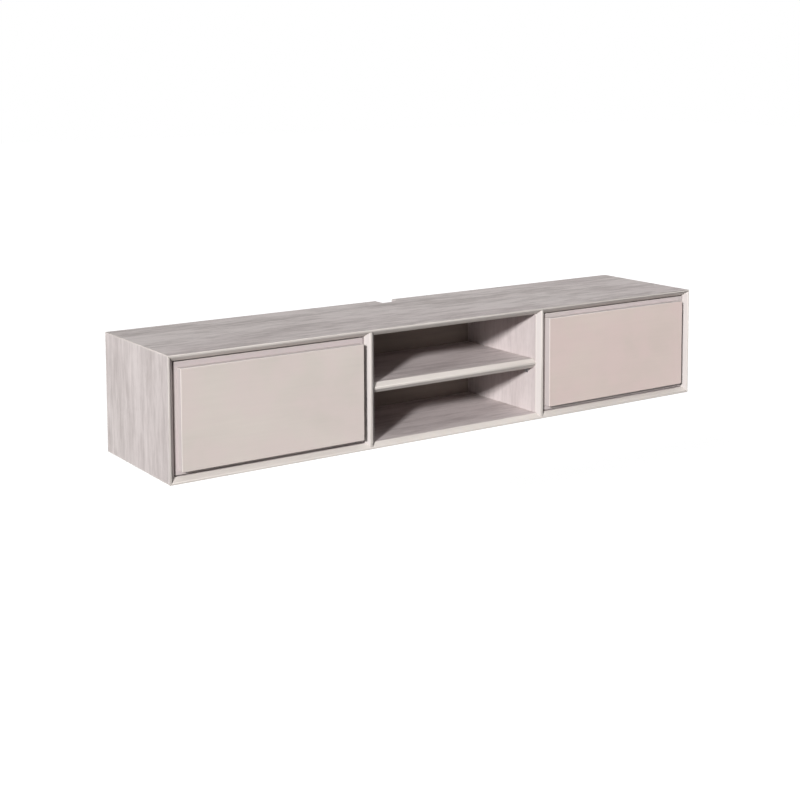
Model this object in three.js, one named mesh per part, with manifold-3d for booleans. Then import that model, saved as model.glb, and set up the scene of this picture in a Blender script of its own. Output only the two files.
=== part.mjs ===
// Floating media console: a wall-hung cabinet with a push-to-open drawer on each side of an open bay.
// Millimetres, +Z up. The front faces -Y and the wall is the plane Y = 0.
// The origin is the centre of the wall rail's back face.

import * as THREE from 'three';
import { mergeVertices } from 'three/addons/utils/BufferGeometryUtils.js';
import Module from 'manifold-3d';

const wasm = await Module();
wasm.setup();

// Cabinet: boards with a square lip and a 45 degree bevel at the front edge
const width = 1600;
const depth = 350;
const height = 293;
const lip = 5;
const bevel = 10;
const dividerLip = 7;
const shelfLip = 5;
const backThickness = 6;
const backRecess = 36;
const notchWidth = 52;
const bays = 3;

// Fits between pieces, and how far a cutter runs past what it cuts
const seam = 0.3;
const overrun = 5;

// Shelf supports: angle plates with a pin into the divider
const supportWidth = 12;
const supportDrop = 16;
const supportReach = 12;
const supportSteel = 1.5;
const supportFrontInset = 37;
const supportBackInset = 45;
const pinRadius = 2.5;
const pinDepth = 9;

// Drawer fronts: a panel set back in the opening, and a raised panel on it that stands proud
const frontSetback = 12;
const frontThickness = 16;
const frontGap = 3;
const raisedStand = 8;
const raisedSideMargin = 11.9;
const raisedEndMargin = 14;
const leftRaisedShift = -0.5;
const leftRaisedDrop = 1.3;
const rightRaisedShift = -6.8;
const rightRaisedDrop = -1.2;

// Drawer boxes
const boxWall = 12;
const boxHeight = 180;
const boxClearance = 22;
const boxBackRoom = 29.7;
const boxBottom = 6;
const grooveDepth = 6;
const grooveRise = 10;

// Ball-bearing runners
const runnerHeight = 45;
const runnerSpace = 13;
const runnerSteel = 1.2;
const runnerScrewInset = 40;
const screwRoom = 1.6;
const runningGap = 0.5;
const ballTrack = 2.4;
const ballRadius = 1;
const ballPitch = 20;
const ballsPerTrack = 6;
const cageSheet = 0.6;
const cageLength = 115;
const cageReach = 9;
const cabinetRailReach = 10;
const middleRailReach = 11;

// Push latches
const latchWidth = 14;
const latchHeight = 17;
const latchLength = 60;
const latchFootWidth = 36;
const latchFootLength = 30;
const latchFootThickness = 3;
const plungerRadius = 4;
const plungerLength = 50;
const plungerRise = 10;
const plungerReach = 3;
const latchBoreEnd = 6;
const strikeRadius = 5;
const strikeThickness = 1.5;

// Wall rail, hangers and what carries them
const railHeight = 30;
const railSteel = 2;
const railReach = 10;
const railLip = 18;
const railEndRoom = 34;
const railDrop = 45;
const railHoleRadius = 3.5;
const railHoleDrop = 5;
const railHoleInset = 50;
const railHoles = 6;
const battenHeight = 60;
const battenThickness = 18;
const cableChannel = 120;
const hangerSteel = 3;
const hangerWidth = 60;
const hangerDrop = 12;
const hookLength = 12;
const hangerInset = 150;
const spacerWidth = 100;
const spacerHeight = 40;
const spacerInset = 90;

// Screws: shank radius, head radius, head thickness and length
const runnerScrew = { shank: 1.6, head: 3.2, rise: 1.2, length: 11 };
const hangerScrew = { shank: 2.2, head: 4.5, rise: 2.4, length: 18 };
const headCrownShare = 0.7;
const screwClearance = 0.15;
const screwSides = 8;
const roundSides = 16;

// Places that follow from the sizes
const board = lip + bevel;
const divider = dividerLip + 2 * bevel;
const shelfThickness = shelfLip + 2 * bevel;
const front = -depth;
const backFront = -backRecess - backThickness;
const ceiling = height - board;
const bayWidth = (width - 2 * board - (bays - 1) * divider) / bays;
const bayPitch = bayWidth + divider;
const panelFront = front + frontSetback;
const panelBack = panelFront + frontThickness;
const boxFront = panelBack + seam;
const boxBack = backFront - boxBackRoom;
const runnerLength = boxBack - boxFront;
const boxFloor = board + boxClearance;
const boxTop = boxFloor + boxHeight;
const boxHalf = bayWidth / 2 - runnerSpace;
const boxInside = boxHalf - boxWall;
const runnerCentre = boxFloor + boxHeight / 2;
const railCentre = ceiling - railDrop;
const railTop = railHeight / 2;
const railLength = width - 2 * board - 2 * railEndRoom;
const battenBack = -backRecess + seam + battenThickness;
const sides = { left: -1, right: 1 };

const X = new THREE.Vector3(1, 0, 0);
const Y = new THREE.Vector3(0, 1, 0);
const Z = new THREE.Vector3(0, 0, 1);
const forward = Y.clone().negate();

// Outlines extruded along X, Y or Z
function prism(points, length, across, up, start) {
  const shape = new THREE.Shape(points.map(([a, b]) => new THREE.Vector2(a, b)));
  const geometry = new THREE.ExtrudeGeometry(shape, { depth: length, bevelEnabled: false });
  const along = new THREE.Vector3().crossVectors(across, up);
  return geometry.applyMatrix4(new THREE.Matrix4().makeBasis(across, up, along).setPosition(start));
}

function prismX(yzPoints, x0, x1) {
  return prism(yzPoints, x1 - x0, Y, Z, new THREE.Vector3(x0, 0, 0));
}

function prismY(xzPoints, y0, y1) {
  return prism(xzPoints, y1 - y0, X, Z, new THREE.Vector3(0, y1, 0));
}

function prismZ(xyPoints, z0, z1) {
  return prism(xyPoints, z1 - z0, X, Y, new THREE.Vector3(0, 0, z0));
}

function block([x0, x1], [y0, y1], [z0, z1]) {
  const geometry = new THREE.BoxGeometry(x1 - x0, y1 - y0, z1 - z0);
  return geometry.translate((x0 + x1) / 2, (y0 + y1) / 2, (z0 + z1) / 2);
}

// A cylinder from a point along a direction
function rod(start, direction, length, radius, rodSides = roundSides) {
  const geometry = new THREE.CylinderGeometry(radius, radius, length, rodSides);
  geometry.translate(0, length / 2, 0);
  geometry.applyQuaternion(new THREE.Quaternion().setFromUnitVectors(Y, direction));
  return geometry.translate(start.x, start.y, start.z);
}

// Joins and cuts
function positionsOnly(geometry) {
  const plain = geometry.clone();
  plain.deleteAttribute('normal');
  plain.deleteAttribute('uv');
  return mergeVertices(plain);
}

function solidOf(geometry) {
  const plain = positionsOnly(geometry);
  return new wasm.Manifold(new wasm.Mesh({
    numProp: 3,
    vertProperties: new Float32Array(plain.attributes.position.array),
    triVerts: new Uint32Array(plain.index.array),
  }));
}

function geometryOf(solid) {
  const { vertProperties, triVerts } = solid.getMesh();
  const geometry = new THREE.BufferGeometry();
  geometry.setAttribute('position', new THREE.BufferAttribute(vertProperties, 3));
  return geometry.setIndex(new THREE.BufferAttribute(triVerts, 1));
}

function cut(geometry, cutters) {
  return geometryOf(cutters.reduce((solid, cutter) => solid.subtract(solidOf(cutter)), solidOf(geometry)));
}

function join(geometry, additions) {
  return geometryOf(additions.reduce((solid, addition) => solid.add(solidOf(addition)), solidOf(geometry)));
}

function overlapOf(first, second) {
  return geometryOf(solidOf(first).intersect(solidOf(second)));
}

// What is made is kept here, with the holes that other pieces need in it, until the assembly at the end
const pieces = [];
const holes = {};

function make(name, finish, geometry) {
  pieces.push({ name, finish, geometry });
}

function drill(name, cutter) {
  holes[name] ??= [];
  holes[name].push(cutter);
}

// A screw with its head on the seat, and its hole in the piece that it runs into
function screw(size, seat, direction, name) {
  const profile = [
    [0, -size.rise],
    [size.head * headCrownShare, -size.rise],
    [size.head, 0],
    [size.shank, 0],
    [size.shank, size.length - 2 * size.shank],
    [0, size.length],
  ].map(([radius, along]) => new THREE.Vector2(radius, along));
  const geometry = new THREE.LatheGeometry(profile, screwSides);
  geometry.applyQuaternion(new THREE.Quaternion().setFromUnitVectors(Y, direction));
  drill(name, rod(seat, direction, size.length + seam, size.shank + screwClearance, screwSides));
  return geometry.translate(seat.x, seat.y, seat.z);
}

// Outer frame: four boards mitred at the corners. outer is a board's outer face, inward points from it
const mitreGap = seam / Math.SQRT2;

function frameSection(outer, inward) {
  return [
    [front, outer],
    [0, outer],
    [0, outer + inward * board],
    [front + bevel, outer + inward * board],
    [front, outer + inward * lip],
  ];
}

function frameEnds(halfLength, centre, outer, inward) {
  const long = halfLength - mitreGap;
  return [
    [centre - long, outer],
    [centre + long, outer],
    [centre + long - board, outer + inward * board],
    [centre - long + board, outer + inward * board],
  ];
}

function levelBoard(outer, inward) {
  const length = prismX(frameSection(outer, inward), -width / 2, width / 2);
  return overlapOf(length, prismY(frameEnds(width / 2, 0, outer, inward), front - overrun, overrun));
}

function uprightBoard(outer, inward) {
  const section = frameSection(outer, inward).map(([y, x]) => [x, y]);
  const ends = frameEnds(height / 2, height / 2, outer, inward).map(([z, x]) => [x, z]);
  return overlapOf(prismZ(section, 0, height), prismY(ends, front - overrun, overrun));
}

function makeFrame() {
  make('top_panel', 'timber', levelBoard(height, -1));
  make('bottom_panel', 'timber', levelBoard(0, 1));
  make('left_side_panel', 'timber', uprightBoard(-width / 2, 1));
  make('right_side_panel', 'timber', uprightBoard(width / 2, -1));
  drill('top_panel', block(
    [-notchWidth / 2, notchWidth / 2],
    [-backRecess, overrun],
    [ceiling - overrun, height + overrun],
  ));
}

// Dividers: a nose bevelled on both sides, coped at its ends to the bevels of the top and bottom panels
function makeDivider(side, sign) {
  const centre = sign * bayPitch / 2;
  const plan = [
    [centre - dividerLip / 2, front],
    [centre + dividerLip / 2, front],
    [centre + divider / 2, front + bevel],
    [centre + divider / 2, backFront - seam],
    [centre - divider / 2, backFront - seam],
    [centre - divider / 2, front + bevel],
  ];
  const floor = board + seam;
  const roof = ceiling - seam;
  const profile = [
    [front, floor - bevel],
    [front + bevel, floor],
    [backFront, floor],
    [backFront, roof],
    [front + bevel, roof],
    [front, roof + bevel],
  ];
  const blank = prismZ(plan, 0, height);
  make(`${side}_divider`, 'timber', overlapOf(blank, prismX(profile, centre - divider, centre + divider)));
}

// Shelf: its nose starts where the dividers' bevels end
const shelfFront = front + bevel;
const shelfTop = height / 2 + shelfThickness / 2;
const shelfUnderside = height / 2 - shelfThickness / 2;

function makeShelf() {
  const profile = [
    [shelfFront, shelfUnderside + bevel],
    [shelfFront + bevel, shelfUnderside],
    [backFront - seam, shelfUnderside],
    [backFront - seam, shelfTop],
    [shelfFront + bevel, shelfTop],
    [shelfFront, shelfTop - bevel],
  ];
  make('shelf', 'timber', prismX(profile, -bayWidth / 2 + seam, bayWidth / 2 - seam));
}

function makeShelfSupports() {
  const top = shelfUnderside - seam;
  const bottom = top - supportDrop;
  const section = [
    [seam, bottom],
    [seam, top],
    [supportReach, top],
    [supportReach, top - supportSteel],
    [seam + supportSteel, top - supportSteel],
    [seam + supportSteel, bottom],
  ];
  for (const [side, sign] of Object.entries(sides)) {
    const outward = X.clone().multiplyScalar(sign);
    const angle = section.map(([across, z]) => [sign * (bayWidth / 2 - across), z]);
    const places = { front: shelfFront + supportFrontInset, back: backFront - supportBackInset };
    for (const [place, y] of Object.entries(places)) {
      const plate = prismY(angle, y - supportWidth / 2, y + supportWidth / 2);
      const wall = new THREE.Vector3(sign * bayWidth / 2, y, (top + bottom) / 2);
      const root = wall.clone().addScaledVector(outward, -seam - supportSteel / 2);
      const pin = rod(root, outward, seam + supportSteel / 2 + pinDepth, pinRadius);
      make(`${side}_${place}_shelf_support`, 'zinc', join(plate, [pin]));
      const mouth = wall.clone().addScaledVector(outward, -overrun);
      const hole = rod(mouth, outward, overrun + pinDepth + seam, pinRadius + screwClearance);
      drill(`${side}_divider`, hole);
    }
  }
}

function makeBackPanel() {
  make('back_panel', 'backBoard', block(
    [-width / 2 + board + seam, width / 2 - board - seam],
    [backFront, -backRecess],
    [board + seam, ceiling - seam],
  ));
}

// Drawer fronts
const raisedOffsets = {
  left: [leftRaisedShift, -leftRaisedDrop],
  right: [rightRaisedShift, -rightRaisedDrop],
};

function makeFront(side, bayCentre) {
  const [shiftX, shiftZ] = raisedOffsets[side];
  const raisedHalf = bayWidth / 2 - raisedSideMargin;
  const panelHalf = bayWidth / 2 - frontGap;
  make(`${side}_raised_panel`, 'lacquer', block(
    [bayCentre + shiftX - raisedHalf, bayCentre + shiftX + raisedHalf],
    [front - raisedStand, panelFront - seam],
    [board + raisedEndMargin + shiftZ, ceiling - raisedEndMargin + shiftZ],
  ));
  make(`${side}_front_panel`, 'lacquer', block(
    [bayCentre - panelHalf, bayCentre + panelHalf],
    [panelFront, panelBack],
    [board + frontGap, ceiling - frontGap],
  ));
}

// Drawer boxes: the bottom slides into grooves in the sides, under the back
function makeBox(side, bayCentre) {
  const name = `${side}_drawer_box`;
  const behindFront = boxFront + boxWall + seam;
  const grooveFloor = boxFloor + grooveRise;
  const bottomFloor = grooveFloor + seam;
  const bottomTop = bottomFloor + boxBottom;
  const grooveTop = bottomTop + seam;
  const bottomHalf = boxInside + grooveDepth - seam;
  const backHalf = boxInside - seam;
  make(`${name}_front`, 'birch', block(
    [bayCentre - boxHalf, bayCentre + boxHalf],
    [boxFront, boxFront + boxWall],
    [boxFloor, boxTop],
  ));
  make(`${name}_back`, 'birch', block(
    [bayCentre - backHalf, bayCentre + backHalf],
    [boxBack - boxWall, boxBack],
    [grooveTop, boxTop],
  ));
  make(`${name}_bottom`, 'birch', block(
    [bayCentre - bottomHalf, bayCentre + bottomHalf],
    [behindFront, boxBack],
    [bottomFloor, bottomTop],
  ));
  for (const [hand, sign] of Object.entries(sides)) {
    const section = [
      [boxHalf, boxFloor],
      [boxHalf, boxTop],
      [boxInside, boxTop],
      [boxInside, grooveTop],
      [boxInside + grooveDepth, grooveTop],
      [boxInside + grooveDepth, grooveFloor],
      [boxInside, grooveFloor],
      [boxInside, boxFloor],
    ].map(([across, z]) => [bayCentre + sign * across, z]);
    make(`${name}_${hand}_side`, 'birch', prismY(section, behindFront, boxBack));
  }
}

// Runner sections: distances across from the bay's wall, and up from the runner's centre line
const cabinetTrack = runnerHeight / 2 - runnerSteel;
const middleTrack = cabinetTrack - ballTrack;
const middleInside = middleTrack - runnerSteel;
const drawerTrack = middleInside - ballTrack;
const outerCageWeb = seam + runnerSteel + screwRoom;
const middleWeb = outerCageWeb + cageSheet + runningGap;
const innerCageWeb = middleWeb + runnerSteel + runningGap;
const drawerFlange = innerCageWeb + cageSheet + runningGap;
const drawerWeb = runnerSpace - seam;

// A channel with its web at webStart and its flanges out to reach
function channel(webStart, reach, halfHeight, sheet) {
  const inside = webStart + Math.sign(reach - webStart) * sheet;
  return [
    [webStart, -halfHeight],
    [reach, -halfHeight],
    [reach, -halfHeight + sheet],
    [inside, -halfHeight + sheet],
    [inside, halfHeight - sheet],
    [reach, halfHeight - sheet],
    [reach, halfHeight],
    [webStart, halfHeight],
  ];
}

const railSections = {
  cabinet: channel(seam, cabinetRailReach, runnerHeight / 2, runnerSteel),
  middle: channel(middleWeb, middleRailReach, middleTrack, runnerSteel),
  drawer: channel(drawerWeb, drawerFlange, drawerTrack, runnerSteel),
};

// Rails and cages start just behind the drawer front. wall is the bay's wall, toBox points to the box
const runnerFront = panelBack + 2 * seam;

function runnerLengthOf(section, wall, toBox, start, length) {
  const placed = section.map(([across, up]) => [wall + toBox * across, runnerCentre + up]);
  return prismY(placed, start, start + length);
}

// A cage is a channel that carries a row of balls in each flange
function ballCage(web, trackMiddle, wall, toBox) {
  const start = runnerFront + (runnerLength - cageLength) / 2;
  const firstBall = start + (cageLength - (ballsPerTrack - 1) * ballPitch) / 2;
  const x = wall + toBox * (web + cageSheet + cageReach) / 2;
  const balls = [];
  for (let i = 0; i < ballsPerTrack; i += 1) {
    const y = firstBall + i * ballPitch;
    for (const z of [runnerCentre - trackMiddle, runnerCentre + trackMiddle]) {
      balls.push(new THREE.IcosahedronGeometry(ballRadius).translate(x, y, z));
    }
  }
  const section = channel(web, cageReach, trackMiddle + cageSheet / 2, cageSheet);
  return join(runnerLengthOf(section, wall, toBox, start, cageLength), balls);
}

function makeRunners(side, bayCentre) {
  for (const [hand, sign] of Object.entries(sides)) {
    const runner = `${side}_drawer_${hand}`;
    const wall = bayCentre + sign * bayWidth / 2;
    const toBox = -sign;
    const outward = X.clone().multiplyScalar(sign);
    const inward = X.clone().multiplyScalar(toBox);
    const wallName = hand === side ? `${side}_side_panel` : `${side}_divider`;
    const boxName = `${side}_drawer_box_${hand}_side`;
    const wallScrews = [];
    const boxScrews = [];
    for (const y of [runnerFront + runnerScrewInset, runnerFront + runnerLength - runnerScrewInset]) {
      const wallSeat = new THREE.Vector3(wall + toBox * (seam + runnerSteel), y, runnerCentre);
      wallScrews.push(screw(runnerScrew, wallSeat, outward, wallName));
      const boxSeat = new THREE.Vector3(wall + toBox * (drawerWeb - runnerSteel), y, runnerCentre);
      boxScrews.push(screw(runnerScrew, boxSeat, inward, boxName));
    }
    const rail = (kind) => runnerLengthOf(railSections[kind], wall, toBox, runnerFront, runnerLength);
    make(`${runner}_cabinet_rail`, 'zinc', join(rail('cabinet'), wallScrews));
    make(`${runner}_middle_rail`, 'zinc', rail('middle'));
    make(`${runner}_drawer_rail`, 'zinc', join(rail('drawer'), boxScrews));
    const outerCage = ballCage(outerCageWeb, (cabinetTrack + middleTrack) / 2, wall, toBox);
    const innerCage = ballCage(innerCageWeb, (middleInside + drawerTrack) / 2, wall, toBox);
    make(`${runner}_outer_ball_cage`, 'zinc', outerCage);
    make(`${runner}_inner_ball_cage`, 'zinc', innerCage);
  }
}

// Push latches: a sprung plunger in a housing on the cabinet's floor, and its strike on the drawer front
function makeLatch(side, bayCentre) {
  const name = `${side}_push_latch_housing`;
  const floor = board + seam;
  const strikeFront = panelBack + seam;
  const tip = strikeFront + strikeThickness + seam;
  const housingFront = tip + plungerReach;
  const footFront = housingFront + (latchLength - latchFootLength) / 2;
  const axis = new THREE.Vector3(bayCentre, 0, board + plungerRise);
  const housing = block(
    [bayCentre - latchWidth / 2, bayCentre + latchWidth / 2],
    [housingFront, housingFront + latchLength],
    [floor, floor + latchHeight],
  );
  const foot = block(
    [bayCentre - latchFootWidth / 2, bayCentre + latchFootWidth / 2],
    [footFront, footFront + latchFootLength],
    [floor, floor + latchFootThickness],
  );
  const mouth = axis.clone().setY(housingFront - overrun);
  drill(name, rod(mouth, Y, overrun + latchLength - latchBoreEnd, plungerRadius + seam));
  make(name, 'plastic', join(housing, [foot]));
  make(`${side}_push_latch_plunger`, 'plastic', rod(axis.clone().setY(tip), Y, plungerLength, plungerRadius));
  const strike = rod(axis.clone().setY(strikeFront), Y, strikeThickness, strikeRadius);
  make(`${side}_push_latch_strike`, 'zinc', strike);
}

// Wall rail: a Z section whose lip stands up in front of the wall, with a row of screw holes
function makeWallRail() {
  const lipTop = railTop + railLip;
  const section = [
    [0, -railTop],
    [0, railTop],
    [-railReach + railSteel, railTop],
    [-railReach + railSteel, lipTop],
    [-railReach, lipTop],
    [-railReach, railTop - railSteel],
    [-railSteel, railTop - railSteel],
    [-railSteel, -railTop],
  ].map(([y, z]) => [y, railCentre + z]);
  make('wall_rail', 'zinc', prismX(section, -railLength / 2, railLength / 2));
  const holePitch = (railLength - 2 * railHoleInset) / (railHoles - 1);
  for (let i = 0; i < railHoles; i += 1) {
    const x = -railLength / 2 + railHoleInset + i * holePitch;
    const start = new THREE.Vector3(x, -railSteel - overrun, railCentre - railHoleDrop);
    drill('wall_rail', rod(start, Y, railSteel + 2 * overrun, railHoleRadius));
  }
}

// Hangers: steel hooks over the rail's lip, on timber battens behind the back panel
function makeHanger(side, sign) {
  const plateFront = battenBack + seam;
  const plateBack = plateFront + hangerSteel;
  const hookFront = -railReach + railSteel + seam;
  const hookBack = hookFront + hangerSteel;
  const underside = railTop + railLip + seam;
  const section = [
    [plateFront, -hangerDrop],
    [plateFront, underside + hangerSteel],
    [hookBack, underside + hangerSteel],
    [hookBack, underside - hookLength],
    [hookFront, underside - hookLength],
    [hookFront, underside],
    [plateBack, underside],
    [plateBack, -hangerDrop],
  ].map(([y, z]) => [y, railCentre + z]);
  const centre = sign * (width / 2 - board - hangerInset);
  const hanger = prismX(section, centre - hangerWidth / 2, centre + hangerWidth / 2);
  const screws = [-hangerWidth / 4, hangerWidth / 4].map((offset) => {
    const seat = new THREE.Vector3(centre + offset, plateBack, railCentre);
    return screw(hangerScrew, seat, forward, `${side}_hanging_batten`);
  });
  make(`${side}_hanger`, 'zinc', join(hanger, screws));
}

function makeHangingBatten(side, sign) {
  const top = ceiling - seam;
  const ends = [sign * cableChannel / 2, sign * (width / 2 - board - seam)].sort((a, b) => a - b);
  const batten = block(ends, [-backRecess + seam, battenBack], [top - battenHeight, top]);
  make(`${side}_hanging_batten`, 'pine', batten);
}

// Lower spacers: blocks that keep the cabinet upright on the wall
function makeSpacer(side, sign) {
  const centre = sign * (width / 2 - board - spacerInset - spacerWidth / 2);
  const floor = board + seam;
  make(`${side}_lower_spacer`, 'pine', block(
    [centre - spacerWidth / 2, centre + spacerWidth / 2],
    [-backRecess + seam, 0],
    [floor, floor + spacerHeight],
  ));
}

// Finishes
const finishes = {
  timber: { color: 0xb3aca8, roughness: 0.75, metalness: 0 },
  lacquer: { color: 0xd2c8c2, roughness: 0.55, metalness: 0 },
  birch: { color: 0xd8c39f, roughness: 0.65, metalness: 0 },
  pine: { color: 0xcbb083, roughness: 0.75, metalness: 0 },
  backBoard: { color: 0xa39a93, roughness: 0.75, metalness: 0 },
  zinc: { color: 0xb9bcc0, roughness: 0.35, metalness: 0.9 },
  plastic: { color: 0xe4e2de, roughness: 0.5, metalness: 0 },
};

// Assembly
const mediaConsole = new THREE.Group();
mediaConsole.position.z = -railCentre;

makeFrame();
makeShelf();
makeShelfSupports();
makeBackPanel();
makeWallRail();
for (const [side, sign] of Object.entries(sides)) {
  makeDivider(side, sign);
  makeFront(side, sign * bayPitch);
  makeBox(side, sign * bayPitch);
  makeRunners(side, sign * bayPitch);
  makeLatch(side, sign * bayPitch);
  makeHanger(side, sign);
  makeHangingBatten(side, sign);
  makeSpacer(side, sign);
}
for (const { name, finish, geometry } of pieces) {
  const shape = holes[name] ? cut(geometry, holes[name]) : positionsOnly(geometry);
  const mesh = new THREE.Mesh(shape, new THREE.MeshStandardMaterial(finishes[finish]));
  mesh.name = name;
  mediaConsole.add(mesh);
}

export default mediaConsole;
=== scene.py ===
# The looks of a floating media console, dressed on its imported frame.
# Metres, +Z up. The front faces -Y and the wall is the plane Y = 0.

import math

import bmesh
import bpy
from mathutils import Matrix, Vector


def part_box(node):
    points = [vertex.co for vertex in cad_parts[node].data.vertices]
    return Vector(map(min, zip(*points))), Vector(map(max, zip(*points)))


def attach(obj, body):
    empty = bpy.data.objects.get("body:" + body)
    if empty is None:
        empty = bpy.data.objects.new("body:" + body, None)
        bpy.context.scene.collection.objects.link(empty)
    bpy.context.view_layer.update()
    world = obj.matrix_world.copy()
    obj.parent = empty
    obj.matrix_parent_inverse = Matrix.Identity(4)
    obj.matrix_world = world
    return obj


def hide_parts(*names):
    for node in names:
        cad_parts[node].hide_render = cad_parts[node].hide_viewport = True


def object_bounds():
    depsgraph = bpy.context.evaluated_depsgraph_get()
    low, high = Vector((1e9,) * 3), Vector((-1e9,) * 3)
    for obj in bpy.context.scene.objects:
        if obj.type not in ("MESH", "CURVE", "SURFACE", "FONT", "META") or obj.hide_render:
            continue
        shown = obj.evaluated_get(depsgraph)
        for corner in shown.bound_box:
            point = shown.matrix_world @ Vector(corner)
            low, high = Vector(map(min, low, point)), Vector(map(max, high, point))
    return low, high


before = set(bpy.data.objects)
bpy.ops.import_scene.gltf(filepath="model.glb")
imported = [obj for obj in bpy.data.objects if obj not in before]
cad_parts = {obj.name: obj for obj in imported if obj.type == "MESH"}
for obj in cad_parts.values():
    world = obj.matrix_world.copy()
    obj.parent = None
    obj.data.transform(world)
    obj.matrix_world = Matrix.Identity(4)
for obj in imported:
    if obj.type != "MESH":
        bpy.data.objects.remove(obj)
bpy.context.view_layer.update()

# The pieces, by what they are made of
LEVEL_BOARDS = ["top_panel", "bottom_panel", "shelf"]
UPRIGHT_BOARDS = ["left_side_panel", "right_side_panel", "left_divider", "right_divider"]
SIDES = ["left", "right"]

# Camera: it stands front left of the console, just above it, and its lens is shifted down
CAMERA_PLACE = Vector((-2.1406, -3.2433, 0.7077))
CAMERA_AZIMUTH = math.radians(34.102)
CAMERA_FALL = math.radians(5.528)
CAMERA_ROLL = math.radians(-0.205)
CAMERA_LENS = 65.39
CAMERA_SENSOR = 36
CAMERA_SHIFT = -0.25


def make_camera():
    camera = bpy.data.objects.new("camera", bpy.data.cameras.new("camera"))
    bpy.context.scene.collection.objects.link(camera)
    camera.data.lens = CAMERA_LENS
    camera.data.sensor_width = CAMERA_SENSOR
    camera.data.shift_y = CAMERA_SHIFT
    level = math.cos(CAMERA_FALL)
    view = Vector((
        math.sin(CAMERA_AZIMUTH) * level,
        math.cos(CAMERA_AZIMUTH) * level,
        -math.sin(CAMERA_FALL),
    ))
    right = Vector((math.cos(CAMERA_AZIMUTH), -math.sin(CAMERA_AZIMUTH), 0))
    up = right.cross(view)
    rolled_right = right * math.cos(CAMERA_ROLL) + up * math.sin(CAMERA_ROLL)
    rolled_up = up * math.cos(CAMERA_ROLL) - right * math.sin(CAMERA_ROLL)
    turn = Matrix((rolled_right, rolled_up, -view)).transposed()
    camera.matrix_world = Matrix.Translation(CAMERA_PLACE) @ turn.to_4x4()
    bpy.context.scene.camera = camera


# Shader maths: a wire is a socket that Python's operators work on
class Wire:
    def __init__(self, finish, socket):
        self.finish = finish
        self.socket = socket

    def math(self, operation, *values):
        return self.finish.node("ShaderNodeMath", {"operation": operation}, dict(enumerate(values)))

    def __add__(self, other):
        return self.math("ADD", self, other)

    def __radd__(self, other):
        return self.math("ADD", other, self)

    def __sub__(self, other):
        return self.math("SUBTRACT", self, other)

    def __rsub__(self, other):
        return self.math("SUBTRACT", other, self)

    def __mul__(self, other):
        return self.math("MULTIPLY", self, other)

    def __rmul__(self, other):
        return self.math("MULTIPLY", other, self)

    def __truediv__(self, other):
        return self.math("DIVIDE", self, other)

    def __rtruediv__(self, other):
        return self.math("DIVIDE", other, self)

    def lower(self, other):
        return self.math("MINIMUM", self, other)

    def higher(self, other):
        return self.math("MAXIMUM", self, other)

    def size(self):
        return self.math("ABSOLUTE", self)

    def wave(self):
        return self.math("SINE", self)

    def rise(self, low, high):
        """0 below low, 1 above high, and smooth between them. It falls where low is above high."""
        return self.finish.node(
            "ShaderNodeMapRange",
            {"interpolation_type": "SMOOTHSTEP"},
            {"Value": self, "From Min": low, "From Max": high},
        )

    def stretched(self, x, y, z):
        """The place, scaled along each axis."""
        return self.finish.node("ShaderNodeVectorMath", {"operation": "MULTIPLY"}, {0: self, 1: (x, y, z)})

    def moved(self, x, y, z):
        return self.finish.node("ShaderNodeVectorMath", {"operation": "ADD"}, {0: self, 1: (x, y, z)})

    def parts(self):
        return [self.finish.node("ShaderNodeSeparateXYZ", {}, {0: self}, out) for out in range(3)]


class Nodes:
    """The nodes of a material, of the world or of a repeated shape."""

    def __init__(self, tree):
        self.tree = tree
        self.tree.nodes.clear()

    def node(self, kind, settings, values, out=0):
        """A node of a kind, with its settings first and then its sockets' values or wires."""
        made = self.tree.nodes.new(kind)
        for setting, value in settings.items():
            setattr(made, setting, value)
        for socket, value in values.items():
            if isinstance(value, Wire):
                self.tree.links.new(value.socket, made.inputs[socket])
            else:
                made.inputs[socket].default_value = value
        return Wire(self, None if out is None else made.outputs[out])

    def seen_share(self):
        """1 for rays that show the background, straight or in metal and glass."""
        camera, glossy, transmission = [
            self.node("ShaderNodeLightPath", {}, {}, out)
            for out in ("Is Camera Ray", "Is Glossy Ray", "Is Transmission Ray")
        ]
        return camera.higher(glossy).higher(transmission)


class Finish(Nodes):
    """One material, built from nodes."""

    def __init__(self, name):
        self.material = bpy.data.materials.new(name)
        self.material.use_nodes = True
        super().__init__(self.material.node_tree)
        self.place = self.node("ShaderNodeTexCoord", {}, {}, "Object")

    def noise(self, at, scale, detail=2.0, roughness=0.5):
        values = {"Vector": at, "Scale": scale, "Detail": detail, "Roughness": roughness}
        return self.node("ShaderNodeTexNoise", {"noise_dimensions": "3D"}, values)

    def grain(self, at, axis, lengthwise, across, detail, roughness=0.5):
        """Noise drawn out along one axis, by its scales along that axis and across it."""
        scales = [lengthwise if name == axis else across for name in "XYZ"]
        return self.noise(at.stretched(*scales), 1.0, detail, roughness)

    def mark(self, name):
        """How much of a named face attribute is here."""
        return self.node("ShaderNodeAttribute", {"attribute_name": name}, {}, 2)

    def mix(self, share, first, second):
        first, second = [c if isinstance(c, Wire) else (*c, 1) for c in (first, second)]
        return self.node("ShaderNodeMix", {"data_type": "RGBA"}, {0: share, 6: first, 7: second}, 2)

    def bump(self, height, distance, strength):
        return self.node("ShaderNodeBump", {}, {"Height": height, "Distance": distance, "Strength": strength})

    def surface(self, colour, roughness, normal=None, **fixed):
        values = {"Base Color": colour if isinstance(colour, Wire) else (*colour, 1), "Roughness": roughness}
        if normal is not None:
            values["Normal"] = normal
        values.update({name.replace("_", " "): value for name, value in fixed.items()})
        self.shown(self.node("ShaderNodeBsdfPrincipled", {}, values))
        return self.material

    def shown(self, shader):
        self.node("ShaderNodeOutputMaterial", {}, {"Surface": shader}, None)


# How much a matt finish shines
MATT = 0.14

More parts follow.
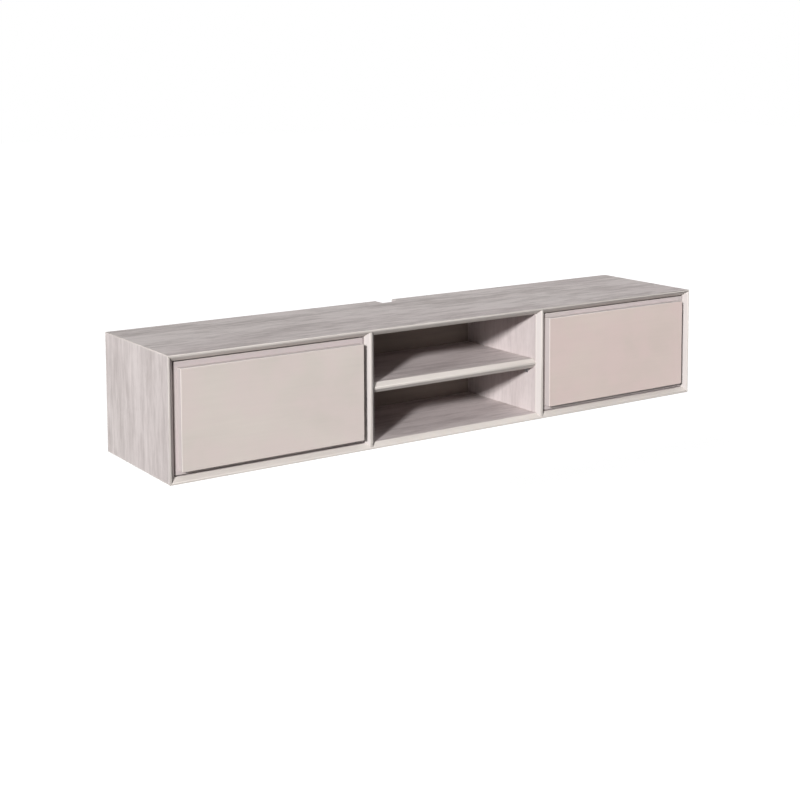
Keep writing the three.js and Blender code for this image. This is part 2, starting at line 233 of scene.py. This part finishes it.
# Whitewashed timber: taupe grain under a thin pale wash, with smooth painted front edges, and painted shade
# on the uprights' bevels
GRAIN_DARK = (0.335, 0.283, 0.275)
GRAIN_LIGHT = (0.73, 0.66, 0.65)
GRAIN_OLIVE = (0.50, 0.475, 0.455)
GRAIN_ROSE = (0.58, 0.495, 0.50)
EDGE_PAINT = (0.60, 0.55, 0.515)
EDGE_WORN = (0.69, 0.64, 0.60)
UPRIGHT_BEVEL_PAINTED_SHADE = (0.53, 0.485, 0.475)
GRAIN_DEPTH = 0.0004
WEAR_STARTS = 0.0085
WEAR_IS_FULL = 0.002
WEAR_RAGGEDNESS = 0.006

# Layers of the timber's figure: scale along and across the grain, detail and roughness, then where each shows
TIMBER_LAYERS = {
    "broad": ((2.0, 20, 4.0, 0.6), (0.3, 0.7)),
    "streak": ((7, 62, 4.0, 0.65), (0.3, 0.7)),
    "thread": ((17, 130, 3.0, 0.7), (0.28, 0.72)),
    "fleck": ((26, 190, 2.0, 0.6), (0.6, 0.74)),
    "patch": ((6, 15, 3.0, 0.6), (0.42, 0.72)),
    "drift": ((1.3, 2.5, 1.0, 0.5), (0.36, 0.62)),
    "pore": ((45, 1500, 1.0, 0.5), (0.62, 0.74)),
}

# How pale the wash is on each kind of board, how strong its grain, and how rosy its drifts
LEVEL_LOOK = {"wash": 0.045, "contrast": 1.25, "rose": 0.35}
DIVIDER_LOOK = {"wash": 0.1, "contrast": 0.6, "rose": 0.35}
SIDE_LOOK = {"wash": 0.02, "contrast": 0.7, "rose": 0.1}


def edge_distance(finish, node):
    """How far a place on a board is from the nearest edge of its box."""
    low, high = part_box(node)
    middle = (low + high) / 2
    half = (high - low) / 2
    centred = finish.place.moved(*(-middle)).parts()
    x, y, z = [part.size() * -1 + reach for part, reach in zip(centred, half)]
    return x.lower(y).higher(x.higher(y).lower(z))


def timber(node, axis, seed, wash, contrast, rose):
    """Whitewashed timber for one board, with its grain along an axis."""
    finish = Finish(f"timber_{node}")
    at = finish.place.moved(seed * 1.7, seed * 2.3, seed * 3.1)
    broad, streak, thread, fleck, patch, drift, pore = [
        finish.grain(at, axis, *pattern).rise(*shows)
        for pattern, shows in TIMBER_LAYERS.values()
    ]
    fine = finish.grain(at, axis, 14, 420, 2.0)
    tone = (broad - 0.5) * (0.34 * contrast) + (streak - 0.5) * (0.36 * contrast)
    tone = tone + (thread - 0.5) * (0.34 * contrast) - fleck * (0.24 * contrast)
    tone = tone + (fine - 0.5) * 0.35 + patch * (0.26 * contrast) + (0.51 + wash)
    wood = finish.mix(tone.rise(0, 1), GRAIN_DARK, GRAIN_LIGHT)
    wood = finish.mix(drift * rose, finish.mix(0.3, wood, GRAIN_OLIVE), GRAIN_ROSE)
    wood = finish.mix(pore * 0.3, wood, GRAIN_DARK)
    ragged = finish.noise(at, 60.0, 3.0, 0.6) * WEAR_RAGGEDNESS
    worn = (edge_distance(finish, node) + ragged).rise(WEAR_STARTS, WEAR_IS_FULL)
    wood = finish.mix(worn * 0.55, wood, EDGE_WORN)
    front = finish.mark("front_edge")
    cloud = finish.grain(at, axis, 3, 30, 3.0)
    paint = finish.mix(cloud.rise(0.3, 0.7), EDGE_PAINT, EDGE_WORN)
    # Painted shade: the front bevels of the sides and dividers are darkened towards a greyer tint than their
    # lips
    paint = finish.mix(finish.mark("upright_bevel") * 0.8, paint, UPRIGHT_BEVEL_PAINTED_SHADE)
    colour = finish.mix(front, wood, paint)
    colour = finish.mix(finish.mark("arris") * 0.6, colour, EDGE_WORN)
    plain = 1 - front
    relief = (fine * 0.5 + streak * 0.3 - pore * 0.6) * plain + finish.noise(at, 700.0) * 0.12
    roughness = 0.5 + plain * (0.12 + (streak - 0.5) * 0.16)
    return finish.surface(colour, roughness, finish.bump(relief, GRAIN_DEPTH, 0.8), Specular_IOR_Level=MATT)


# Painted drawer fronts: smooth and warm off-white, faintly clouded, with painted shade on their side faces
FRONT_TINTS = {"left": (0.698, 0.628, 0.58), "right": (0.69, 0.583, 0.538)}
# The base panels' paint is made darker than the raised panels' paint, partly as painted shade for the recess
# round the raised panels
BASE_PAINT_AND_SHADE = (0.58, 0.525, 0.51)
SIDE_FACE_PAINTED_SHADE = (0.53, 0.475, 0.465)
DEEPER_SHARE = 0.9
ROSIER_SHARES = (1.0, 0.95, 0.985)
PAINT_DEPTH = 0.00012


def painted(name, tint, seed):
    finish = Finish(f"painted_{name}")
    at = finish.place.moved(seed, seed * 2, seed * 3)
    cloud = finish.noise(at.stretched(3, 3, 5), 1.0, 3.0, 0.55).rise(0.3, 0.7)
    brushed = finish.noise(at.stretched(7, 7, 160), 1.0, 3.0, 0.6)
    blotch = finish.noise(at.stretched(11, 11, 13), 1.0, 2.0, 0.5).rise(0.35, 0.65)
    deeper = [channel * DEEPER_SHARE for channel in tint]
    rosier = [channel * share for channel, share in zip(tint, ROSIER_SHARES)]
    paint = finish.mix(cloud * 0.7 + (brushed - 0.5) * 0.6 + 0.1, tint, deeper)
    paint = finish.mix(blotch * 0.6, paint, rosier)
    # Painted shade: the side, top and bottom faces of each panel are darkened towards a greyer tint
    paint = finish.mix(finish.mark("side_face"), paint, SIDE_FACE_PAINTED_SHADE)
    paint = finish.mix(finish.mark("arris") * 0.5, paint, EDGE_WORN)
    relief = brushed * 0.5 + finish.noise(at, 850.0) * 0.25
    roughness = 0.46 + (cloud - 0.5) * 0.06
    return finish.surface(paint, roughness, finish.bump(relief, PAINT_DEPTH, 0.7), Specular_IOR_Level=MATT)


# Back board: whitewashed like the boards, but darker; the darkness is partly painted shade for the deep bays,
# where the back is only seen in shade
BACK_DARK = (0.30, 0.255, 0.225)
BACK_LIGHT = (0.42, 0.365, 0.325)
BACK_DEPTH = 0.0002


def back_board():
    finish = Finish("back_board")
    broad = finish.noise(finish.place.stretched(2.2, 20, 30), 1.0, 4.0, 0.55).rise(0.3, 0.7)
    fine = finish.grain(finish.place, "X", 12, 300, 2.0, 0.6)
    wood = finish.mix(broad * 0.6 + fine * 0.4, BACK_DARK, BACK_LIGHT)
    relief = finish.bump(fine, BACK_DEPTH, 0.7)
    return finish.surface(wood, 0.62 + (fine - 0.5) * 0.2, relief, Specular_IOR_Level=MATT)


# Birch plywood: clear-lacquered faces, and edges that show its layers
BIRCH_PALE = (0.74, 0.60, 0.42)
BIRCH_DEEP = (0.62, 0.47, 0.30)
LAYER_PALE = (0.70, 0.54, 0.36)
LAYER_DEEP = (0.38, 0.25, 0.14)
LAYER_PITCH = 0.003
BIRCH_DEPTH = 0.00015


def birch(name, thickness_axis, seed):
    finish = Finish(f"birch_{name}")
    grain_axis = "Y" if thickness_axis == "X" else "X"
    at = finish.place.moved(seed, seed * 1.9, seed * 2.7)
    broad = finish.grain(at, grain_axis, 3, 30, 4.0, 0.6).rise(0.3, 0.7)
    fine = finish.grain(at, grain_axis, 20, 500, 2.0)
    face = finish.mix(broad * 0.6 + fine * 0.5, BIRCH_PALE, BIRCH_DEEP)
    through = finish.place.parts()["XYZ".index(thickness_axis)]
    layers = (through * (2 * math.pi / LAYER_PITCH)).wave().rise(-0.4, 0.4)
    edge = finish.mix(layers * 0.8 + fine * 0.3, LAYER_PALE, LAYER_DEEP)
    colour = finish.mix(finish.mark("ply_edge"), face, edge)
    return finish.surface(colour, 0.4 + (fine - 0.5) * 0.15, finish.bump(fine, BIRCH_DEPTH, 0.7))


# Planed pine for what is hidden behind the back board
PINE_PALE = (0.67, 0.49, 0.28)
PINE_RING = (0.52, 0.33, 0.16)
PINE_RING_RATE = 900
PINE_RING_WARP = 34
PINE_DEPTH = 0.0002


def pine(node, axis, seed):
    finish = Finish(f"pine_{node}")
    at = finish.place.moved(seed, seed * 2.1, seed * 1.3)
    warp = finish.grain(at, axis, 3, 9, 2.0)
    across = at.parts()[2] * PINE_RING_RATE + warp * PINE_RING_WARP
    rings = across.wave().rise(-0.9, 0.9)
    fine = finish.grain(at, axis, 22, 480, 2.0)
    wood = finish.mix(rings * 0.7 + fine * 0.4, PINE_PALE, PINE_RING)
    relief = finish.bump(fine + rings * 0.4, PINE_DEPTH, 0.7)
    return finish.surface(wood, 0.62 + (fine - 0.5) * 0.2, relief)


# Zinc-plated sheet steel, faintly clouded and rolled lengthwise
ZINC_DULL = (0.60, 0.62, 0.64)
ZINC_BRIGHT = (0.72, 0.735, 0.75)
ROLLED_DEPTH = 0.00004


def zinc(name, axis):
    finish = Finish(name)
    cloud = finish.noise(finish.place, 70.0, 3.0, 0.6).rise(0.3, 0.7)
    rolled = finish.grain(finish.place, axis, 30, 1600, 2.0, 0.6)
    colour = finish.mix(cloud, ZINC_DULL, ZINC_BRIGHT)
    roughness = 0.3 + cloud * 0.12 + (rolled - 0.5) * 0.12
    return finish.surface(colour, roughness, finish.bump(rolled, ROLLED_DEPTH, 0.6), Metallic=1.0)


# Off-white moulded plastic of the latches
PLASTIC_DULL = (0.76, 0.75, 0.72)
PLASTIC_BRIGHT = (0.80, 0.79, 0.765)
MOULDED_DEPTH = 0.00006


def latch_plastic():
    finish = Finish("latch_plastic")
    speckle = finish.noise(finish.place, 2200.0, 2.0, 0.6)
    cloud = finish.noise(finish.place, 120.0)
    colour = finish.mix(cloud, PLASTIC_DULL, PLASTIC_BRIGHT)
    return finish.surface(colour, 0.42 + (speckle - 0.5) * 0.2, finish.bump(speckle, MOULDED_DEPTH, 0.7))


# Pieces with eased edges: each is a copy of its node with its long outer edges rounded
FACE_MARKS = ["arris", "front_edge", "ply_edge", "side_face", "upright_bevel"]
WELD_REACH = 0.00001
FLAT_ANGLE = math.radians(1)
SHARP_ANGLE = math.radians(20)
ARRIS_SEGMENTS = 3
ARRIS_ROUNDNESS = 0.5
FACING_SHARE = 0.5

# The radius of each kind of piece's edges, and its shortest edge that is rounded
EASING = {
    "board": (0.0011, 0.012),
    "back_panel": (0.0004, 0.012),
    "raised_panel": (0.0014, 0.012),
    "front_panel": (0.0008, 0.012),
    "plywood": (0.0007, 0.008),
    "pine": (0.001, 0.012),
    "wall_steel": (0.0005, 0.02),
    "shelf_support": (0.0003, 0.01),
    "runner": (0.00035, 0.1),
    "latch": (0.0008, 0.01),
}


def face_mark(bm, name, faces):
    layer = bm.faces.layers.float[name]
    for face in faces:
        face[layer] = 1.0


def merged(node):
    """A node's mesh with its doubles merged and its flat faces joined, ready to be marked."""
    bm = bmesh.new()
    bm.from_mesh(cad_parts[node].data)
    bmesh.ops.remove_doubles(bm, verts=bm.verts, dist=WELD_REACH)
    bmesh.ops.dissolve_limit(bm, angle_limit=FLAT_ANGLE, verts=bm.verts, edges=bm.edges)
    for name in FACE_MARKS:
        bm.faces.layers.float.new(name)
    return bm


def dress(bm, name, nodes, body, material):
    """Makes a piece of a mesh, in the place of CAD nodes."""
    mesh = bpy.data.meshes.new(name)
    bm.to_mesh(mesh)
    bm.free()
    mesh.materials.append(material)
    piece = bpy.data.objects.new(name, mesh)
    bpy.context.scene.collection.objects.link(piece)
    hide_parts(*nodes)
    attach(piece, body)


def eased(node, body, material, kind, ply_axis=None):
    """Stands for a node with its outer edges rounded, and marks its faces for its finish."""
    radius, shortest = EASING[kind]
    bm = merged(node)
    edges = [
        edge for edge in bm.edges
        if edge.is_manifold and edge.is_convex and edge.calc_length() > shortest
        and edge.calc_face_angle(0) > SHARP_ANGLE
    ]
    if ply_axis is not None:
        across = Vector([float(name == ply_axis) for name in "XYZ"])
        face_mark(bm, "ply_edge", [face for face in bm.faces if abs(face.normal.dot(across)) < FACING_SHARE])
    front = [face for face in bm.faces if face.normal.y < -FACING_SHARE]
    face_mark(bm, "front_edge", front)
    face_mark(bm, "upright_bevel", [face for face in front if abs(face.normal.x) > FACING_SHARE])
    face_mark(bm, "side_face", [face for face in bm.faces if abs(face.normal.y) < FACING_SHARE])
    made = bmesh.ops.bevel(
        bm, geom=edges, offset=radius, offset_type="OFFSET", segments=ARRIS_SEGMENTS,
        profile=ARRIS_ROUNDNESS, affect="EDGES", clamp_overlap=True,
    )
    face_mark(bm, "arris", made["faces"])
    for face in made["faces"]:
        face.smooth = True
    dress(bm, f"{node}_board", [node], body, material)


# Where each kind of piece starts in its pattern
LEVEL_SEED = 1
UPRIGHT_SEED = 11
RAISED_SEED = 3.0
BASE_SEED = 7.0
PINE_SEED = 2.0
BIRCH_SEED_STEP = 1.3


def make_boards():
    for seed, node in enumerate(LEVEL_BOARDS, LEVEL_SEED):
        eased(node, "cabinet", timber(node, "X", seed, **LEVEL_LOOK), "board")
    for seed, node in enumerate(UPRIGHT_BOARDS, UPRIGHT_SEED):
        look = DIVIDER_LOOK if "divider" in node else SIDE_LOOK
        eased(node, "cabinet", timber(node, "Z", seed, **look), "board")
    eased("back_panel", "cabinet", back_board(), "back_panel")


def make_fronts():
    for seed, side in enumerate(SIDES):
        raised = painted(f"{side}_raised", FRONT_TINTS[side], seed + RAISED_SEED)
        base = painted(f"{side}_base", BASE_PAINT_AND_SHADE, seed + BASE_SEED)
        eased(f"{side}_raised_panel", f"{side}_drawer", raised, "raised_panel")
        eased(f"{side}_front_panel", f"{side}_drawer", base, "front_panel")


def make_boxes():
    thickness = {"front": "Y", "back": "Y", "bottom": "Z", "left_side": "X", "right_side": "X"}
    for side in SIDES:
        for seed, (part, axis) in enumerate(thickness.items()):
            plywood = birch(f"{side}_{part}", axis, seed * BIRCH_SEED_STEP)
            eased(f"{side}_drawer_box_{part}", f"{side}_drawer", plywood, "plywood", axis)


def make_hidden_timber():
    for seed, side in enumerate(SIDES):
        for part in ("hanging_batten", "lower_spacer"):
            node = f"{side}_{part}"
            eased(node, "cabinet", pine(node, "X", seed + PINE_SEED), "pine")


# Repeated shapes: Geometry Nodes put one at each place, each turned at random, as one mesh
SPIN_SEED = 7
BALL_SUBDIVISIONS = 3


def repeated(name, places, sizes, shape_of, material):
    group = bpy.data.node_groups.new(name, "GeometryNodeTree")
    group.interface.new_socket("Points", in_out="INPUT", socket_type="NodeSocketGeometry")
    sockets = {
        size: group.interface.new_socket(size, in_out="INPUT", socket_type="NodeSocketFloat").identifier
        for size in sizes
    }
    group.interface.new_socket("Result", in_out="OUTPUT", socket_type="NodeSocketGeometry")
    nodes = Nodes(group)
    given = {key: nodes.node("NodeGroupInput", {}, {}, key) for key in ("Points", *sizes)}
    turn = nodes.node(
        "FunctionNodeRandomValue", {"data_type": "FLOAT"}, {"Max": 2 * math.pi, "Seed": SPIN_SEED}, 1,
    )
    spin = nodes.node("ShaderNodeCombineXYZ", {}, {"Z": turn})
    values = {"Points": given["Points"], "Instance": shape_of(nodes, given), "Rotation": spin}
    placed = nodes.node("GeometryNodeInstanceOnPoints", {}, values)
    whole = nodes.node("GeometryNodeRealizeInstances", {}, {"Geometry": placed})
    whole = nodes.node("GeometryNodeSetMaterial", {}, {"Geometry": whole, "Material": material})
    nodes.node("NodeGroupOutput", {}, {"Result": whole}, None)
    points = bpy.data.meshes.new(f"{name}_points")
    points.from_pydata(places, [], [])
    piece = bpy.data.objects.new(name, points)
    bpy.context.scene.collection.objects.link(piece)
    modifier = piece.modifiers.new("repeat", "NODES")
    modifier.node_group = group
    for size, value in sizes.items():
        modifier[sockets[size]] = value
    seen = piece.evaluated_get(bpy.context.evaluated_depsgraph_get())
    mesh = bpy.data.meshes.new_from_object(seen)
    piece.modifiers.clear()
    piece.data = mesh
    return piece


def ball(nodes, given):
    sizes = {"Radius": given["Radius"], "Subdivisions": BALL_SUBDIVISIONS}
    sphere = nodes.node("GeometryNodeMeshIcoSphere", {}, sizes)
    return nodes.node("GeometryNodeSetShadeSmooth", {}, {"Geometry": sphere})


# Screw heads: the cross is given as shares of the head's radius and rise, the cutter of its sphere's radius
HEAD_SEGMENTS = 28
HEAD_RINGS = 40
CROSS_LENGTH_SHARE = 1.15
CROSS_WIDTH_SHARE = 0.2
CROSS_HEIGHT_SHARE = 0.85
CUTTER_SHARE = 4


def screw_head(nodes, given):
    """A domed head: a sphere cut off flat at the seat, with a cross cut into its crown."""
    radius, rise = given["Radius"], given["Rise"]
    sphere_radius = (radius * radius + rise * rise) / (rise * 2)
    sizes = {"Segments": HEAD_SEGMENTS, "Rings": HEAD_RINGS, "Radius": sphere_radius}
    dome = nodes.node("GeometryNodeMeshUVSphere", {}, sizes)
    dome = shifted(nodes, dome, rise - sphere_radius)
    big = sphere_radius * CUTTER_SHARE
    dome = without(nodes, dome, shifted(nodes, block(nodes, big, big, big), big * -0.5))
    length = radius * CROSS_LENGTH_SHARE
    width = radius * CROSS_WIDTH_SHARE
    for x, y in ((length, width), (width, length)):
        dome = without(nodes, dome, shifted(nodes, block(nodes, x, y, rise), rise * CROSS_HEIGHT_SHARE))
    return dome


def block(nodes, x, y, z):
    return nodes.node("GeometryNodeMeshCube", {}, {"Size": joined(nodes, x, y, z)})


def joined(nodes, x, y, z):
    return nodes.node("ShaderNodeCombineXYZ", {}, {"X": x, "Y": y, "Z": z})


def shifted(nodes, shape, up):
    place = {"Geometry": shape, "Translation": joined(nodes, 0, 0, up)}
    return nodes.node("GeometryNodeTransform", {}, place)


def without(nodes, shape, cutter):
    cut = {"operation": "DIFFERENCE", "solver": "EXACT"}
    return nodes.node("GeometryNodeMeshBoolean", cut, {0: shape, 1: cutter})


def screws(name, seats, facing, head, body, steel):
    """Screw heads on their seats, all facing one way. A head is its radius and its rise."""
    turn = facing.to_track_quat("Z", "Y").to_matrix().to_4x4()
    places = [turn.inverted() @ seat for seat in seats]
    radius, rise = head
    piece = repeated(name, places, {"Radius": radius, "Rise": rise}, screw_head, steel)
    piece.data.transform(turn)
    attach(piece, body)


# Runners: a rounder ball over each faceted ball of a cage, in two rows
BALL_RADIUS = 0.00102
BALL_PITCH = 0.020
BALLS_PER_TRACK = 6
CAD_BALL_REACH = 0.00085


def make_runners(steel):
    for side in SIDES:
        for hand in SIDES:
            runner = f"{side}_drawer_{hand}"
            carriers = {"cabinet": "cabinet", "middle": f"{side}_middle_rails", "drawer": f"{side}_drawer"}
            for part, body in carriers.items():
                eased(f"{runner}_{part}_rail", body, steel, "runner")
            for part in ("outer", "inner"):
                make_balls(f"{runner}_{part}_ball_cage", f"{side}_{part}_cages", steel)


def make_balls(cage, body, steel):
    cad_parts[cage].data.materials.clear()
    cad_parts[cage].data.materials.append(steel)
    low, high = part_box(cage)
    middle = (low + high) / 2
    first = middle.y - BALL_PITCH * (BALLS_PER_TRACK - 1) / 2
    places = [
        Vector((middle.x, first + i * BALL_PITCH, z))
        for i in range(BALLS_PER_TRACK)
        for z in (low.z + CAD_BALL_REACH, high.z - CAD_BALL_REACH)
    ]
    piece = repeated(f"{cage}_balls", places, {"Radius": BALL_RADIUS}, ball, steel)
    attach(piece, body)


# Latches: an outline gives each point's radius and its place from the front, a screw its radius and rise
TURNED_SIDES = 40
PLUNGER_STEM_RADIUS = 0.00395
PLUNGER_OUTLINE = [
    (0.0024, 0), (0.0034, 0.0003), (0.0039, 0.001), (0.0039, 0.0034),
    (0.0035, 0.0038), (0.0035, 0.0048), (PLUNGER_STEM_RADIUS, 0.0052),
]
STRIKE_OUTLINE = [(0.0045, 0), (0.005, 0.0004), (0.005, 0.0011), (0.0045, 0.0015)]
LATCH_SCREW = (0.0027, 0.0012)
LATCH_SCREW_FOOT = 0.003
LATCH_SCREW_INSET = 0.0055


def turned(node, body, material, outline):
    """A round piece along Y, made by turning its outline."""
    low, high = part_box(node)
    middle = (low + high) / 2
    turns = [2 * math.pi * i / TURNED_SIDES for i in range(TURNED_SIDES)]
    bm = bmesh.new()
    for mark in FACE_MARKS:
        bm.faces.layers.float.new(mark)
    rings = [
        [
            bm.verts.new((
                middle.x + radius * math.cos(turn),
                low.y + place,
                middle.z + radius * math.sin(turn),
            ))
            for turn in turns
        ]
        for radius, place in outline
    ]
    for near, far in zip(rings, rings[1:]):
        for i in range(TURNED_SIDES):
            j = (i + 1) % TURNED_SIDES
            bm.faces.new((near[i], near[j], far[j], far[i])).smooth = True
    bm.faces.new(rings[0])
    bm.faces.new(rings[-1])
    bmesh.ops.recalc_face_normals(bm, faces=bm.faces)
    dress(bm, f"{node}_turned", [node], body, material)


def make_latches(steel, plastic):
    for side in SIDES:
        housing = f"{side}_push_latch_housing"
        eased(housing, "cabinet", plastic, "latch")
        low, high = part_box(housing)
        middle = (low.y + high.y) / 2
        ends = (low.x + LATCH_SCREW_INSET, high.x - LATCH_SCREW_INSET)
        seats = [Vector((x, middle, low.z + LATCH_SCREW_FOOT)) for x in ends]
        screws(f"{housing}_screws", seats, Vector((0, 0, 1)), LATCH_SCREW, "cabinet", steel)
        plunger = f"{side}_push_latch_plunger"
        low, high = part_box(plunger)
        outline = PLUNGER_OUTLINE + [(PLUNGER_STEM_RADIUS, high.y - low.y)]
        turned(plunger, f"{side}_plunger", plastic, outline)
        turned(f"{side}_push_latch_strike", f"{side}_drawer", steel, STRIKE_OUTLINE)


# Screws: each head's radius and rise, and where the screws sit, as shares of the piece's width and height
FRONT_SCREW = (0.0038, 0.0018)
FRONT_SCREW_SHARES = ((0.14, 0.38, 0.62, 0.86), (0.3, 0.75))
BATTEN_SCREW = (0.0042, 0.002)
BATTEN_SCREW_SHARES = ((0.06, 0.34, 0.66, 0.94), (0.28, 0.72))
PANEL_SCREW = (0.0034, 0.0016)
PANEL_SCREW_FOOT = 0.03
PANEL_SCREW_PITCH = 0.052
PANEL_SCREW_COUNT = 4


def seats_on(node, shares):
    """Places on a piece's back face."""
    low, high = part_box(node)
    span = high - low
    across_shares, up_shares = shares
    return [
        Vector((low.x + span.x * across, high.y, low.z + span.z * up))
        for across in across_shares
        for up in up_shares
    ]


def make_fasteners(steel):
    """Screws that hold each drawer's front to its box, the battens, and the back panel to the dividers."""
    back = Vector((0, 1, 0))
    for side in SIDES:
        seats = seats_on(f"{side}_drawer_box_front", FRONT_SCREW_SHARES)
        screws(f"{side}_front_screws", seats, back, FRONT_SCREW, f"{side}_drawer", steel)
        seats = seats_on(f"{side}_hanging_batten", BATTEN_SCREW_SHARES)
        screws(f"{side}_batten_screws", seats, back, BATTEN_SCREW, "cabinet", steel)
        low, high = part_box(f"{side}_divider")
        _, panel_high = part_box("back_panel")
        middle = (low.x + high.x) / 2
        seats = [
            Vector((middle, panel_high.y, low.z + PANEL_SCREW_FOOT + PANEL_SCREW_PITCH * i))
            for i in range(PANEL_SCREW_COUNT)
        ]
        screws(f"{side}_panel_screws", seats, back, PANEL_SCREW, "cabinet", steel)


def make_hardware():
    rolled = {"X": zinc("zinc_steel_x", "X"), "Y": zinc("zinc_steel_y", "Y")}
    for node in ("wall_rail", "left_hanger", "right_hanger"):
        eased(node, "cabinet", rolled["X"], "wall_steel")
    for side in SIDES:
        for place in ("front", "back"):
            eased(f"{side}_{place}_shelf_support", "cabinet", rolled["Y"], "shelf_support")
    make_runners(rolled["Y"])
    make_latches(rolled["Y"], latch_plastic())
    make_fasteners(rolled["Y"])


# Floor, far below the wall-hung console: white to the camera, and it keeps the console's shadow
FLOOR_DROP = 1.0
FLOOR_SIZE = 30.0
FLOOR_CELLS = 4
FLOOR_GLOW = 0.93
FLOOR_PALE = (0.24, 0.24, 0.24)
FLOOR_PALER = (0.27, 0.27, 0.27)


def make_floor():
    low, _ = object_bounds()
    bm = bmesh.new()
    bmesh.ops.create_grid(bm, x_segments=FLOOR_CELLS, y_segments=FLOOR_CELLS, size=FLOOR_SIZE)
    bmesh.ops.translate(bm, verts=bm.verts, vec=(0, 0, low.z - FLOOR_DROP))
    mesh = bpy.data.meshes.new("floor")
    bm.to_mesh(mesh)
    bm.free()
    floor = bpy.data.objects.new("floor", mesh)
    bpy.context.scene.collection.objects.link(floor)
    finish = Finish("floor")
    cloud = finish.noise(finish.place, 3.0)
    shade = finish.node("ShaderNodeBsdfDiffuse", {}, {"Color": finish.mix(cloud, FLOOR_PALE, FLOOR_PALER)})
    white = finish.node("ShaderNodeEmission", {}, {"Strength": finish.seen_share() * FLOOR_GLOW})
    finish.shown(finish.node("ShaderNodeAddShader", {}, {0: shade, 1: white}))
    mesh.materials.append(finish.material)


# Light: a low sun front left, a soft light overhead, a weak level fill behind right, a faint surround
SUN_FROM = Vector((-0.745, -0.582, 0.326))
SUN_POWER = 1.34 * math.pi
SUN_ANGLE = math.radians(6)
OVERHEAD_FROM = Vector((0, -0.2, 1))
OVERHEAD_POWER = 0.235 * math.pi
OVERHEAD_ANGLE = math.radians(60)
FILL_FROM = Vector((0.8, 0.5, 0.03))
FILL_POWER = 0.22 * math.pi
FILL_ANGLE = math.radians(3)
SURROUND = 0.04


def make_lamp(name, comes_from, power, angle):
    lamp = bpy.data.objects.new(name, bpy.data.lights.new(name, "SUN"))
    lamp.data.energy = power
    lamp.data.angle = angle
    lamp.rotation_euler = comes_from.to_track_quat("Z", "Y").to_euler()
    bpy.context.scene.collection.objects.link(lamp)


def make_light():
    make_lamp("sun", SUN_FROM, SUN_POWER, SUN_ANGLE)
    make_lamp("overhead", OVERHEAD_FROM, OVERHEAD_POWER, OVERHEAD_ANGLE)
    make_lamp("fill", FILL_FROM, FILL_POWER, FILL_ANGLE)
    world = bpy.data.worlds.new("surround")
    bpy.context.scene.world = world
    world.use_nodes = True
    surround = Nodes(world.node_tree)
    strength = surround.seen_share() * (1 - SURROUND) + SURROUND
    light = surround.node("ShaderNodeBackground", {}, {"Color": (1, 1, 1, 1), "Strength": strength})
    surround.node("ShaderNodeOutputWorld", {}, {"Surface": light}, None)
    bpy.context.scene.view_settings.view_transform = "Standard"


make_camera()
make_boards()
make_fronts()
make_boxes()
make_hidden_timber()
make_hardware()
make_floor()
make_light()
